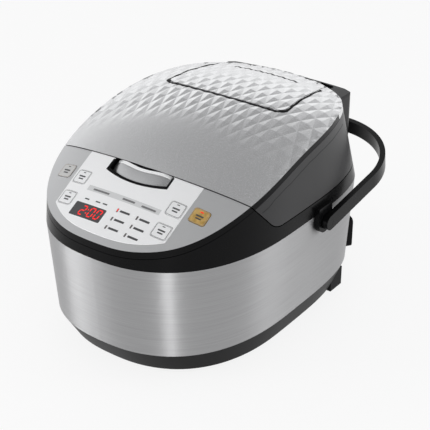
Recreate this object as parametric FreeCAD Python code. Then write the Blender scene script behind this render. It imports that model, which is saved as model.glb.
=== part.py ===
"""Rice cooker with a quilted silver lid, a sloping control panel and a carry handle.

Millimetres, +Z up, the front faces -Y, and the part is symmetric about X = 0.
"""
import math
import os

import FreeCAD
import Part

V = FreeCAD.Vector

# Plan outline: half width, reach to the front and to the rear of PLAN_Y, at four heights
PLAN_Y = -23.0
FRONT_POWER = 2.42
REAR_POWER = 4.0
CROWN_REAR_POWER = 2.8
BASE_Z, BASE_HALF, BASE_FRONT, BASE_REAR = 6.0, 122.0, 145.0, 172.0
WRAP_Z, WRAP_HALF, WRAP_FRONT, WRAP_REAR = 32.0, 131.0, 160.5, 182.0
RIM_Z, RIM_HALF, RIM_FRONT, RIM_REAR = 136.0, 135.0, 168.0, 190.0
CROWN_Z, CROWN_HALF, CROWN_FRONT, CROWN_REAR = 250.0, 129.3, 155.0, 172.0

# Domed top: a parabola along the middle, straight ahead of the brow, with arcs across
DOME_TOP = 246.2
DOME_Y = 60.0
DOME_BEND = 0.0016
BROW_Y = -125.0
CROSS_RADIUS = 505.0
SHOULDER_X = 81.6
SHOULDER_RADIUS = 116.5

# Casing
SKIN = 2.0
SKIN_GAP = 0.1
SKIRT = 6.0
SKIRT_LINE = 0.6
WALL = 3.0
STEEL = 0.8
PART_Z = 152.6
SEAM_Y, SEAM_TOP_Z, SEAM_LEAN = -103.5, 204.0, 1.077
SEAM_CORNER = 26.0
SEAM_GAP = 1.2

# Cooking pot and what heats it
POT_Y = 30.0
POT_RIM_R = 106.0
POT_R = 102.0
POT_WALL = 1.8
POT_FLOOR_Z = 46.0
POT_CORNER = 22.0
PLUG_R = 113.0
PLUG_DRAFT = 0.4
TUB_GAP = 2.6
TUB_LAP = 7.0
SEAL_CLEAR = 0.4
LINER_R = 98.0
TUB_WALL = 1.0
PLATE_R = 84.0
PLATE_THICK = 12.0
SENSOR_R = 16.0
SENSOR_TRAVEL = 3.0

# Lid hinge
HINGE_Y, HINGE_Z = 150.0, 207.0
BARREL_R = 23.0
BARREL_HALF = 88.0
BARREL_CORNER = 13.0
BARREL_ARCH = 650.0
BARREL_RISE = 20.4
BARREL_GAP = 1.5
PIN_R = 3.0
PIN_PLAY = 0.05
ARM_X, ARM_WIDE, ARM_R = 58.0, 16.0, 11.0
ARM_SIDE_GAP = 0.6

# Carry handle
PIVOT_Y, PIVOT_Z = 32.0, 126.0
PIVOT_PIN_R = 4.0
HANDLE_REST = 8.6
HANDLE_IN = 140.8
HANDLE_THICK = 6.5
HANDLE_WIDE = 17.0
HANDLE_CORNER = 97.0
REAR_END = 221.8
EAR_OUT = 139.8
EAR_R = 13.0

# Control panel
KEY_WIDE, KEY_TALL, KEY_CORNER = 18.0, 16.5, 2.5
KEY_GAP = 0.5
KEY_RISE = 0.6
KEY_DEEP = 4.0
KEY_X, UPPER_KEY_Y, LOWER_KEY_Y = 63.0, -130.4, -154.1
SIDE_KEY_X, SIDE_KEY_Y = 89.0, -126.0
FILM_HALF = 75.5
FILM_RISE = 0.4
FILM_GLUE = 0.05
DISPLAY_X, DISPLAY_Y, DISPLAY_WIDE, DISPLAY_TALL = -26.8, -163.3, 42.0, 16.8
LAMP_X, LAMP_Y, LAMP_STEP_X, LAMP_STEP_Y = 5.3, -152.6, 25.5, 9.4
LAMP_WIDE, LAMP_TALL = 1.8, 4.6
LATCH_HALF = 37.5
LATCH_FRONT_Y = -121.0
LATCH_CORNER_Y = -114.5
LATCH_GAP = 1.0
LATCH_TRAVEL = 2.5
LATCH_CLEAR = 1.2

# Steam cover
COVER_Y, COVER_BOW = 30.5, 4.5
COVER_HALF, COVER_REAR_HALF = 79.0, 66.0
COVER_GAP = 0.7
SLIT_Y, SLIT_HALF, SLIT_WIDE = 116.0, 44.0, 3.0

# Feet and power inlet
FOOT_R = 10.0
FOOT_X, FOOT_Y = 66.0, -118.0
HEEL_X, HEEL_Y, HEEL_LONG, HEEL_WIDE = 111.5, 100.0, 24.0, 14.0
INLET_X, INLET_Y, INLET_TURN = 92.0, 148.0, 35.0
INLET_Z, INLET_TALL, INLET_WIDE, INLET_OUT = 53.0, 38.0, 40.0, 8.0

SLOPE = math.atan(2 * DOME_BEND * (DOME_Y - BROW_Y))
PRESS = V(0, math.sin(SLOPE), -math.cos(SLOPE))
parts = {}


def outline(half, front, rear, rear_power, z, inset=0.0):
    """Closed egg-shaped wire, made of a right half and its mirror image."""
    half, front, rear = half - inset, front - inset, rear - inset
    right = []
    steps = 12
    for i in range(steps + 1):
        t = math.radians(-90 + 180 * i / steps)
        power = FRONT_POWER if t < 0 else rear_power
        reach = front if t < 0 else rear
        x, y = abs(math.cos(t)) / half, abs(math.sin(t)) / reach
        r = (x ** power + y ** power) ** (-1 / power)
        right.append(V(r * math.cos(t), PLAN_Y + r * math.sin(t), z))
    right[0].x = 0
    right[-1].x = 0
    spread = [i / steps for i in range(steps + 1)]
    curve = Part.BSplineCurve()
    curve.interpolate(Points=right, InitialTangent=V(1, 0, 0), FinalTangent=V(-1, 0, 0), Parameters=spread)
    edge = curve.toShape()
    edges = [edge, edge.mirror(V(0, 0, 0), V(1, 0, 0))]
    return Part.Wire(edges)


STATIONS = {
    "base": (BASE_HALF, BASE_FRONT, BASE_REAR, REAR_POWER, BASE_Z),
    "wrap": (WRAP_HALF, WRAP_FRONT, WRAP_REAR, REAR_POWER, WRAP_Z),
    "rim": (RIM_HALF, RIM_FRONT, RIM_REAR, REAR_POWER, RIM_Z),
    "crown": (CROWN_HALF, CROWN_FRONT, CROWN_REAR, CROWN_REAR_POWER, CROWN_Z),
}


def tapered(low, high):
    """Solid between two plan outlines, half by half so that the halves stay mirror images."""
    faces = [Part.makeRuledSurface(a, b) for a, b in zip(low.Edges, high.Edges)]
    shell = Part.Shell(faces + [Part.Face(low), Part.Face(high)])
    shell.sewShape()
    solid = Part.Solid(shell)
    if solid.Volume < 0:
        solid.reverse()
    return solid


def hull(low, high, inset=0.0, drop=0.0):
    """Tapered solid between two stations of the plan outline."""
    a = list(STATIONS[low])
    b = list(STATIONS[high])
    a[4] = a[4] - drop
    return tapered(outline(*a, inset), outline(*b, inset))


def spine(y):
    """Height of the top along the middle of the part."""
    if y >= BROW_Y:
        return DOME_TOP - DOME_BEND * (y - DOME_Y) ** 2
    return spine(BROW_Y) + math.tan(SLOPE) * (y - BROW_Y)


def fall(x):
    """How far the top has dropped at a distance x from the middle."""
    x = abs(x)
    if x < SHOULDER_X:
        return x * x / (2 * CROSS_RADIUS)
    t = x - SHOULDER_X
    return SHOULDER_X ** 2 / (2 * CROSS_RADIUS) + t * SHOULDER_X / CROSS_RADIUS + t * t / (2 * SHOULDER_RADIUS)


def top_z(x, y):
    return spine(y) - fall(x)


def dome_face(lower):
    """The domed top as one face, lowered square to its slope along the middle."""
    rows = []
    for i in range(11):
        y = -210 + 400 * i / 10
        slope = 2 * DOME_BEND * (DOME_Y - max(y, BROW_Y))
        sink = lower * math.sqrt(1 + slope * slope)
        rows.append([V(x, y, top_z(x, y) - sink) for x in range(-150, 151, 50)])
    surface = Part.BSplineSurface()
    surface.interpolate(rows)
    return surface.toShape()


def under_dome(lower=0.0):
    """Everything below the domed top."""
    return dome_face(lower).extrude(V(0, 0, -190))


def dome_slab(rise, thick):
    """Sheet that follows the domed top, from a rise above it down through a thickness."""
    return dome_face(-rise).extrude(V(0, 0, -thick / math.cos(SLOPE)))


def envelope(inset, lower, drop=0.0):
    """Upper casing as a solid: the tapered side walls under the domed top."""
    return hull("rim", "crown", inset, drop).common(under_dome(lower))


def lid_zone(grow):
    """Space of the lid: behind the leaning seam, above the parting line, with the round plug."""
    lean = math.hypot(1, SEAM_LEAN)
    z0 = PART_Z - grow
    top = 300.0
    y_top = SEAM_Y - (top - SEAM_TOP_Z) / SEAM_LEAN - grow * lean / SEAM_LEAN
    y_low = SEAM_Y - (z0 - SEAM_TOP_Z) / SEAM_LEAN - grow * lean / SEAM_LEAN
    corners = [V(-170, y_top, top), V(-170, y_low, z0), V(-170, 230, z0), V(-170, 230, top)]
    prism = Part.Face(Part.makePolygon(corners + corners[:1])).extrude(V(340, 0, 0))
    nose = [e for e in prism.Edges if abs(e.CenterOfMass.z - z0) < 0.1 and e.CenterOfMass.y < 0
            and abs(e.CenterOfMass.x) < 0.1]
    prism = prism.makeFillet(SEAM_CORNER + grow, nose)
    tall = 70.0
    side = grow * math.hypot(1, PLUG_DRAFT)
    r0 = PLUG_R + side - grow * PLUG_DRAFT
    plug = Part.makeCone(r0, r0 + (tall + grow) * PLUG_DRAFT, tall + grow, V(0, POT_Y, z0))
    return prism.fuse(plug)


def bar_x(radius, y, z, x0, x1):
    """Round bar along X."""
    return Part.makeCylinder(radius, x1 - x0, V(x0, y, z), V(1, 0, 0))


def box(x0, x1, y0, y1, z0, z1):
    return Part.makeBox(x1 - x0, y1 - y0, z1 - z0, V(x0, y0, z0))


def both(shape):
    """The shape and its mirror image across X = 0."""
    return Part.makeCompound([shape, shape.mirror(V(0, 0, 0), V(1, 0, 0))])


def biggest(shape):
    return max(shape.Solids, key=lambda s: s.Volume)


def spin(points, x=0.0, y=POT_Y):
    """Solid of revolution from (radius, height) points, about an upright axis."""
    wire = Part.makePolygon([V(x + r, y, z) for r, z in points] + [V(x + points[0][0], y, points[0][1])])
    return Part.Face(wire).revolve(V(x, y, 0), V(0, 0, 1), 360)


def pill(wide, tall, corner, x, y, deep_above, deep_below):
    """Rounded block square to the control panel, standing at a point of its surface."""
    w, h, r = wide / 2, tall / 2, corner
    block = Part.makeBox(wide, tall, deep_above + deep_below, V(-w, -h, -deep_below))
    uprights = [e for e in block.Edges if abs(e.CenterOfMass.z - (deep_above - deep_below) / 2) < 1e-6]
    block = block.makeFillet(r, uprights)
    block.rotate(V(0, 0, 0), V(1, 0, 0), math.degrees(SLOPE))
    block.translate(V(x, y, top_z(x, y)))
    return block


def plan_prism(points, z0, z1):
    """Upright prism over a closed plan outline of points, arcs given as (middle, end)."""
    edges = []
    at = points[0]
    for step in points[1:] + [points[0]]:
        if isinstance(step[0], tuple):
            middle, end = step
            edges.append(Part.Arc(V(*at, z0), V(*middle, z0), V(*end, z0)).toShape())
            at = end
        else:
            edges.append(Part.makeLine(V(*at, z0), V(*step, z0)))
            at = step
    return Part.Face(Part.Wire(edges)).extrude(V(0, 0, z1 - z0))


# Casing blocks shared by the pieces below
dome_top = under_dome(0)
dome_skirt = under_dome(SKIRT)
outer = envelope(0, 0)
skin_in = envelope(SKIN, SKIN)
skin_room = outer.cut(envelope(SKIN + SKIN_GAP, SKIN + SKIN_GAP)).cut(under_dome(SKIRT + SKIRT_LINE))
deck_out = outer.cut(skin_room)
deck_in = envelope(SKIN + SKIN_GAP + WALL, SKIN + SKIN_GAP + WALL, 4.0)
lid_in = lid_zone(-SEAM_GAP / 2)
lid_out = lid_zone(SEAM_GAP / 2)
barrel_room = bar_x(BARREL_R + BARREL_GAP, HINGE_Y, HINGE_Z, -BARREL_HALF - BARREL_GAP, BARREL_HALF + BARREL_GAP)
column_room = box(-BARREL_HALF - BARREL_GAP, BARREL_HALF + BARREL_GAP,
                  HINGE_Y - BARREL_R * 0.72, 230, PART_Z - 30, HINGE_Z)
hinge_room = barrel_room.fuse(column_room)
skin = outer.cut(skin_in).cut(dome_skirt)

# Control panel: silver skin ahead of the seam, with holes for what it carries
keys = {}
key_places = {
    "key_upper_left": (-KEY_X, UPPER_KEY_Y), "key_upper_right": (KEY_X, UPPER_KEY_Y),
    "key_lower_left": (-KEY_X, LOWER_KEY_Y), "key_lower_right": (KEY_X, LOWER_KEY_Y),
    "key_cancel": (-SIDE_KEY_X, SIDE_KEY_Y), "key_start": (SIDE_KEY_X, SIDE_KEY_Y),
}
key_slab = dome_slab(KEY_RISE, KEY_RISE + KEY_DEEP)
panel_holes = []
for name, (x, y) in key_places.items():
    keys[name] = pill(KEY_WIDE, KEY_TALL, KEY_CORNER, x, y, 8, 14).common(key_slab)
    panel_holes.append(pill(KEY_WIDE + 2 * KEY_GAP, KEY_TALL + 2 * KEY_GAP, KEY_CORNER + KEY_GAP, x, y, 8, 14))
window_slab = dome_slab(FILM_RISE, FILM_RISE + SKIN)
window = pill(DISPLAY_WIDE, DISPLAY_TALL, 1.5, DISPLAY_X, DISPLAY_Y, 8, 14)
parts["display_window"] = window.common(window_slab)
panel_holes.append(window)
lamps = []
for i in range(2):
    for j in range(3):
        x, y = LAMP_X + i * LAMP_STEP_X, LAMP_Y - j * LAMP_STEP_Y
        lamps.append(pill(LAMP_WIDE, LAMP_TALL, 0.6, x, y, 8, 14))
lamp_slab = dome_slab(FILM_RISE + 0.2, FILM_RISE + 0.2 + SKIN)
parts["function_lamps"] = Part.makeCompound([s.common(lamp_slab) for s in lamps])
panel_holes += lamps


def latch_prism(grow):
    """Plan of the lid latch button: straight along the seam, bowed to the front."""
    w = LATCH_HALF + grow
    y0 = SEAM_Y + 30
    points = [(-w, y0), (-w - 1, LATCH_CORNER_Y - grow), ((0, LATCH_FRONT_Y - grow), (w + 1, LATCH_CORNER_Y - grow)),
              (w, y0)]
    block = plan_prism(points, 150, 260)
    return block


latch_room = latch_prism(LATCH_GAP)
panel = skin.cut(lid_out).cut([latch_room] + panel_holes)
parts["control_panel"] = biggest(panel)
film_plan = plan_prism([(-FILM_HALF, -90.0), (-FILM_HALF + 2, -164.0), ((0, -184.0), (FILM_HALF - 2, -164.0)),
                        (FILM_HALF, -90.0)], 130, 260)
film = dome_slab(FILM_RISE, FILM_RISE - FILM_GLUE).common(film_plan).common(hull("rim", "crown", 7.0))
film = film.cut(lid_out).cut([latch_room] + panel_holes)
parts["panel_film"] = biggest(film)

# Upper frame: console under the panel, rim round the pot and the handle ears, one moulding
frame_zone = deck_out.cut(lid_out)
frame_room = deck_in.cut(lid_zone(SEAM_GAP / 2 + WALL))
frame = frame_zone.cut(frame_room)
frame = frame.cut(Part.makeCylinder(POT_RIM_R + TUB_GAP, 60, V(0, POT_Y, 120)))
ear = bar_x(EAR_R, PIVOT_Y, PIVOT_Z, RIM_HALF - 8, EAR_OUT).fuse(
    box(RIM_HALF - 8, EAR_OUT, PIVOT_Y - EAR_R, PIVOT_Y + EAR_R, PIVOT_Z, RIM_Z + 9))
ear = ear.cut(hull("wrap", "rim", -0.15)).cut(hull("rim", "crown", -0.0))
pivot_hole = bar_x(PIVOT_PIN_R, PIVOT_Y, PIVOT_Z, 100, 160)
frame = frame.fuse(ear).fuse(ear.mirror(V(0, 0, 0), V(1, 0, 0)))
frame = frame.cut(pivot_hole).cut(pivot_hole.mirror(V(0, 0, 0), V(1, 0, 0)))
latch_well = latch_room.common(dome_slab(0, 15))
frame = frame.cut([latch_well] + panel_holes)
parts["upper_frame"] = biggest(frame)

# Lid: black moulding with a silver skin, closed below by a liner
wall_in = deck_in.common(lid_zone(-SEAM_GAP / 2 - WALL))
lid = deck_out.common(lid_in).cut(wall_in).cut(hinge_room)
rear_web = box(-BARREL_HALF - 4, BARREL_HALF + 4, HINGE_Y - BARREL_R * 0.72 - BARREL_GAP - 4,
               HINGE_Y - BARREL_R * 0.72 - BARREL_GAP, PART_Z + SEAM_GAP / 2, HINGE_Z)
rear_web = rear_web.fuse(bar_x(BARREL_R + BARREL_GAP + WALL, HINGE_Y, HINGE_Z, -BARREL_HALF - 4, BARREL_HALF + 4))
rear_web = rear_web.common(deck_out).common(lid_in).cut(hinge_room)
lid = lid.fuse(rear_web)


def cover_prism(grow):
    """Plan of the steam cover: bowed front, sides drawn in towards the rear."""
    w, r = COVER_HALF + grow, COVER_REAR_HALF + grow
    y = COVER_Y - grow
    block = plan_prism([(-w, y + COVER_BOW), ((0, y - COVER_BOW), (w, y + COVER_BOW)), (r, 175.0), (-r, 175.0)],
                       190, 270)
    sharp = [e for e in block.Edges if abs(e.CenterOfMass.z - 230) < 0.1 and e.CenterOfMass.y < 60]
    return block.makeFillet(10.0, sharp)


cover_room = cover_prism(COVER_GAP)
cover_keep = cover_prism(0)
lid_skin = skin.common(lid_in).cut(hinge_room).cut(cover_room)
parts["lid_top_panel"] = biggest(lid_skin)
slit = plan_prism([(-SLIT_HALF, SLIT_Y), (-SLIT_HALF, SLIT_Y + SLIT_WIDE), (SLIT_HALF, SLIT_Y + SLIT_WIDE),
                   (SLIT_HALF, SLIT_Y)], 190, 270)
cover = skin.common(cover_keep).common(lid_in).cut(hinge_room).cut(slit)
valve_x, valve_y = 0.0, 88.0
VALVE_R = 22.0
valve_top = top_z(0, valve_y) - SKIN - SKIN_GAP
cup_hole = Part.makeCylinder(VALVE_R, 60, V(valve_x, valve_y, valve_top - 40))
lid = lid.cut(cup_hole)

# Lid arms reach back to the hinge pin through slots in the barrel
arm = bar_x(ARM_R, HINGE_Y, HINGE_Z, ARM_X - ARM_WIDE / 2, ARM_X + ARM_WIDE / 2)
arm = arm.fuse(box(ARM_X - ARM_WIDE / 2, ARM_X + ARM_WIDE / 2, HINGE_Y - 34, HINGE_Y,
                   HINGE_Z - ARM_R, HINGE_Z + 6))
arm = arm.cut(bar_x(PIN_R + PIN_PLAY, HINGE_Y, HINGE_Z, 0, 120))
keep_arm = envelope(SKIN + SKIN_GAP, SKIN + SKIN_GAP).fuse(box(0, 120, 120, 180, 190, 222))
arm = arm.common(keep_arm)
lid = lid.fuse(arm).fuse(arm.mirror(V(0, 0, 0), V(1, 0, 0)))
parts["lid_shell"] = biggest(lid)

# Hinge housing: barrel on a column that stands on the rear of the frame
column_front = HINGE_Y - BARREL_R * 0.72 + BARREL_GAP + 0.6
profile = [V(-BARREL_HALF, column_front, PART_Z - SEAM_GAP / 2), V(-BARREL_HALF, HINGE_Y + 13, PART_Z - SEAM_GAP / 2),
           V(-BARREL_HALF, HINGE_Y + BARREL_R, HINGE_Z), V(-BARREL_HALF, column_front, HINGE_Z)]
column = Part.Face(Part.makePolygon(profile + profile[:1])).extrude(V(2 * BARREL_HALF, 0, 0))
barrel = bar_x(BARREL_R, HINGE_Y, HINGE_Z, -BARREL_HALF, BARREL_HALF)
footprint = Part.Face(outline(*STATIONS["rim"][:4], 120, -6.0)).extrude(V(0, 0, 160))
rounded = box(-BARREL_HALF, BARREL_HALF, column_front - 20, HINGE_Y + BARREL_R, PART_Z - 10, HINGE_Z + BARREL_R)
ends = []
for edge in rounded.Edges:
    spot = edge.CenterOfMass
    outer_edge = spot.y > HINGE_Y + BARREL_R - 1 or spot.z > HINGE_Z + BARREL_R - 1
    if abs(spot.x) > BARREL_HALF - 1 and outer_edge:
        ends.append(edge)
rounded = rounded.makeFillet(BARREL_CORNER, ends)
arch_z = HINGE_Z + BARREL_RISE - BARREL_ARCH
arch = Part.makeCylinder(BARREL_ARCH, 120, V(0, HINGE_Y - 60, arch_z), V(0, 1, 0))
housing = barrel.fuse(column).common(footprint).common(rounded).common(arch)
slots = []
for side in (-1, 1):
    x = side * ARM_X
    half = ARM_WIDE / 2 + ARM_SIDE_GAP
    slots.append(box(x - half, x + half, 90, HINGE_Y + ARM_R + 1, HINGE_Z - ARM_R - 1, HINGE_Z + 50))
    slots.append(bar_x(ARM_R + 1, HINGE_Y, HINGE_Z, x - half, x + half))
seal_foot = V(0, POT_Y, PART_Z - SEAM_GAP / 2 - SEAL_CLEAR)
seal_room = Part.makeCylinder(POT_RIM_R - 1 + SEAL_CLEAR, SEAM_GAP + 2 * SEAL_CLEAR, seal_foot)
housing = housing.cut(slots).cut(bar_x(PIN_R, HINGE_Y, HINGE_Z, -80, 80)).cut(seal_room)
parts["hinge_housing"] = biggest(housing)
parts["hinge_pin"] = bar_x(PIN_R, HINGE_Y, HINGE_Z, -80, 80)

# Steam cover and the valve cup under it
parts["steam_cover"] = biggest(cover)
cup_low = valve_top - 18
cup_top = top_z(0, valve_y + VALVE_R) - SKIN - 0.8
parts["steam_cup"] = spin([(3, cup_low), (VALVE_R - 0.1, cup_low), (VALVE_R - 0.1, cup_top),
                           (VALVE_R - 1.6, cup_top), (VALVE_R - 1.6, cup_low + 1.5), (3, cup_low + 1.5)],
                          valve_x, valve_y)

# Under the lid: liner, inner plate and pot seal
liner_z = PART_Z + SEAM_GAP / 2
parts["lid_shell"] = biggest(parts["lid_shell"].cut(Part.makeCylinder(LINER_R + 0.1, WALL + 2, V(0, POT_Y, liner_z - 1))))
parts["lid_liner"] = spin([(4, liner_z), (LINER_R, liner_z), (LINER_R, liner_z + WALL), (LINER_R - 3, liner_z + WALL),
                           (LINER_R - 3, liner_z + 2), (4, liner_z + 2)])
tub_top = PART_Z - SEAM_GAP / 2 - WALL
pot_top = tub_top + POT_WALL
parts["pot_seal"] = spin([(LINER_R - 4, liner_z), (LINER_R - 4, pot_top + 0.4), (POT_RIM_R - 2, pot_top + 0.4),
                          (POT_RIM_R - 1, liner_z)])
parts["inner_lid"] = spin([(5, liner_z - 0.1), (5, liner_z - 1.3), (30, liner_z - 4), (LINER_R - 12, liner_z - 4),
                           (LINER_R - 5, liner_z - 1.3), (LINER_R - 5, liner_z - 0.1), (LINER_R - 13, liner_z - 2.8),
                           (31, liner_z - 2.8)])

# Pot, tub and heater, all turned about the pot's axis
def curve(r_mid, z_mid, radius, start, end, steps=5):
    """Points of an arc in the (radius, height) plane."""
    points = []
    for i in range(steps + 1):
        t = math.radians(start + (end - start) * i / steps)
        points.append((r_mid + radius * math.cos(t), z_mid + radius * math.sin(t)))
    return points


pot_low = POT_FLOOR_Z - POT_WALL
r_turn = POT_R - POT_CORNER
parts["inner_pot"] = spin(
    [(0, pot_low)] + curve(r_turn, pot_low + POT_CORNER, POT_CORNER, -90, 0)
    + [(POT_R, pot_top - POT_WALL), (POT_RIM_R, pot_top - POT_WALL), (POT_RIM_R, pot_top), (POT_R - POT_WALL, pot_top)]
    + curve(r_turn, pot_low + POT_CORNER, POT_CORNER - POT_WALL, 0, -90) + [(0, POT_FLOOR_Z)])
tub_r = POT_R + TUB_GAP
tub_low = pot_low - 6
tub_edge = POT_RIM_R + TUB_GAP + TUB_LAP
parts["inner_tub"] = spin([(PLATE_R + 4, tub_low), (tub_r + TUB_WALL, tub_low), (tub_r + TUB_WALL, tub_top - TUB_WALL),
                           (tub_edge, tub_top - TUB_WALL), (tub_edge, tub_top), (tub_r, tub_top),
                           (tub_r, tub_low + TUB_WALL), (PLATE_R + 4, tub_low + TUB_WALL)])
parts["heating_plate"] = spin([(SENSOR_R + 1, pot_low - PLATE_THICK), (PLATE_R - 8, pot_low - PLATE_THICK),
                               (PLATE_R, pot_low - 4), (PLATE_R - 2, pot_low), (SENSOR_R + 1, pot_low)])
floor_z = BASE_Z + WALL
posts = []
for i in range(3):
    t = math.radians(90 + 120 * i)
    posts.append(Part.makeCylinder(5, pot_low - PLATE_THICK - floor_z,
                                   V(60 * math.cos(t), POT_Y + 60 * math.sin(t), floor_z)))
parts["plate_posts"] = Part.makeCompound(posts)
sensor_top = pot_low - 0.3
parts["pot_sensor"] = spin([(0, 14), (7, 14), (7, sensor_top - 6), (SENSOR_R, sensor_top - 6), (SENSOR_R, sensor_top - 1),
                            (SENSOR_R - 1, sensor_top), (0, sensor_top)])
parts["sensor_guide"] = spin([(7.3, floor_z), (12, floor_z), (12, floor_z + 16), (7.3, floor_z + 16)])

# Steel wrap, base tray and feet
inlet_way = V(math.sin(math.radians(INLET_TURN)), math.cos(math.radians(INLET_TURN)), 0)
inlet_block = Part.makeBox(INLET_WIDE, 24 + INLET_OUT, INLET_TALL, V(-INLET_WIDE / 2, -24, -INLET_TALL / 2))
inlet_block = inlet_block.makeFillet(5.0, [e for e in inlet_block.Edges if abs(e.tangentAt(0).y) > 0.9])
inlet_block.rotate(V(0, 0, 0), V(0, 0, 1), -INLET_TURN)
inlet_block.translate(V(INLET_X, INLET_Y, INLET_Z))
wrap = hull("wrap", "rim").cut(hull("wrap", "rim", STEEL)).cut(inlet_block)
parts["steel_wrap"] = biggest(wrap)
tray_in = tapered(outline(*STATIONS["base"][:4], floor_z, WALL), outline(*STATIONS["wrap"][:4], WRAP_Z + 0.5, WALL))
parts["base_tray"] = biggest(hull("base", "wrap").cut(tray_in))
parts["front_feet"] = both(Part.makeCylinder(FOOT_R, BASE_Z, V(FOOT_X, FOOT_Y, 0)))
heel = box(HEEL_X - HEEL_WIDE / 2, HEEL_X + HEEL_WIDE / 2, HEEL_Y - HEEL_LONG / 2, HEEL_Y + HEEL_LONG / 2, 0, 24)
parts["rear_feet"] = both(biggest(heel.cut(hull("base", "wrap"))))

# Power inlet: socket with its pins
socket = Part.makeBox(26, 20, 20, V(-13, INLET_OUT - 16, -10))
socket = socket.makeFillet(4.0, [e for e in socket.Edges if abs(e.tangentAt(0).y) > 0.9])
pins = [Part.makeBox(4, 14, 2, V(x - 2, INLET_OUT - 18, z - 1)) for x, z in ((-7, -3), (7, -3), (0, 4))]
for piece in [socket] + pins:
    piece.rotate(V(0, 0, 0), V(0, 0, 1), -INLET_TURN)
    piece.translate(V(INLET_X, INLET_Y, INLET_Z))
parts["power_inlet"] = biggest(inlet_block.cut([socket] + pins))
parts["inlet_pins"] = Part.makeCompound(pins)

# Carry handle: a strap bent round the rear, in its own plane, then laid back at rest
reach = (REAR_END - PIVOT_Y - HANDLE_WIDE / 2 * math.sin(math.radians(HANDLE_REST))) / math.cos(math.radians(HANDLE_REST))


def strap(half, length, corner):
    """Face of a U from the pivot line to a rounded far end."""
    k = corner * (1 - math.sqrt(0.5))
    return plan_prism([(-half, 0.0), (half, 0.0), (half, length - corner),
                       ((half - k, length - k), (half - corner, length)), (corner - half, length),
                       ((k - half, length - k), (-half, length - corner))], -HANDLE_WIDE / 2, HANDLE_WIDE / 2)


handle = strap(HANDLE_IN + HANDLE_THICK, reach, HANDLE_CORNER)
handle = handle.cut(strap(HANDLE_IN, reach - HANDLE_THICK, HANDLE_CORNER - HANDLE_THICK))
ends = [bar_x(HANDLE_WIDE / 2, 0, 0, HANDLE_IN, HANDLE_IN + HANDLE_THICK),
        bar_x(HANDLE_WIDE / 2, 0, 0, -HANDLE_IN - HANDLE_THICK, -HANDLE_IN)]
handle = handle.fuse(ends).cut(bar_x(PIVOT_PIN_R + PIN_PLAY, 0, 0, -160, 160)).removeSplitter()
handle.rotate(V(0, 0, 0), V(1, 0, 0), HANDLE_REST)
handle.translate(V(0, PIVOT_Y, PIVOT_Z))
parts["carry_handle"] = biggest(handle)
parts["handle_pins"] = both(bar_x(PIVOT_PIN_R, PIVOT_Y, PIVOT_Z, EAR_OUT - 4.6, HANDLE_IN + HANDLE_THICK - 1))

# Lid latch button
button = latch_prism(0).common(dome_slab(0, 7)).cut(lid_zone(SEAM_GAP / 2 + 0.5))
parts["latch_button"] = biggest(button)

# Boards under the panel and in the base
board_deep = 12.5
parts["control_board"] = pill(156, 60, 3, 0, -143.0, -board_deep, board_deep + 1.6)
switches = []
for x, y in key_places.values():
    switches.append(pill(3, 4, 0.8, x, y, -KEY_DEEP - 1.2, board_deep - fall(x) * math.cos(SLOPE)))
parts["key_switches"] = Part.makeCompound(switches)
parts["display_module"] = pill(38, 14, 1, DISPLAY_X, DISPLAY_Y, -SKIN - 1.4, board_deep - fall(DISPLAY_X) * math.cos(SLOPE))
parts["power_board"] = box(-48, 48, -118, -62, floor_z + 6, floor_z + 7.6)
parts["board_posts"] = Part.makeCompound(
    [Part.makeCylinder(3, 6, V(x, y, floor_z)) for x in (-42, 42) for y in (-112, -68)])
parts.update(keys)

# The frame stands at the middle of the footprint, from the panel's front to the handle's rear
middle = (REAR_END + PLAN_Y - RIM_FRONT) / 2
os.makedirs("parts", exist_ok=True)
for name, shape in parts.items():
    shape.translate(V(0, -middle, 0))
    shape.exportStep("parts/%s.step" % name)
    print(name, len(shape.Solids), shape.isValid(), round(shape.Volume))
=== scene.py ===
# %% [markdown]
# Rice cooker
# The cooker's solids come in from CAD as a fixed frame, and their meshes are never changed. This
# script gives them finishes, makes detailed copies of the few pieces that need more shape, prints
# the control panel and lights the scene from the photo's angle. The details could be modelled from
# nothing, but starting from the solids keeps every fit. Lengths are in metres, and MM turns
# millimetres into metres.

# %% Load the frame
import math

import bmesh
import bpy
from mathutils import Matrix, Vector
from mathutils.bvhtree import BVHTree


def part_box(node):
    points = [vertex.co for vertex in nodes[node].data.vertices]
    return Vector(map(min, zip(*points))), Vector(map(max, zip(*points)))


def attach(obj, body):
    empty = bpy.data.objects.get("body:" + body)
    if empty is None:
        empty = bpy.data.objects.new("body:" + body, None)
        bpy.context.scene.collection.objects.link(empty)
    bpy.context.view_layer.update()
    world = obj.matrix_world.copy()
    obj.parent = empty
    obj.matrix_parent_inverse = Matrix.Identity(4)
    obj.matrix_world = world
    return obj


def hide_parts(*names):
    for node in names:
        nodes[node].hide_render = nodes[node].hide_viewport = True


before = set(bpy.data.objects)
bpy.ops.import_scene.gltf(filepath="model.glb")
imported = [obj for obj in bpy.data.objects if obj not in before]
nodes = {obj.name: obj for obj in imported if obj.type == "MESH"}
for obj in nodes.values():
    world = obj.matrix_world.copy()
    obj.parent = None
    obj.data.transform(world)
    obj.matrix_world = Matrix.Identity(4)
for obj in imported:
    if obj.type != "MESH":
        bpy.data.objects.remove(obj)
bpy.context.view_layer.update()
MM = 0.001
print("loaded", len(nodes), "nodes")

# %% [markdown]
# Shader tools
# Every finish on the cooker is one Principled shader. Its grain could be an image, but noise in the
# object's own coordinates needs no file, has no seams and stays put from any side.

# %% Shader tools
COAT_ROUGH = 0.1


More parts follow.
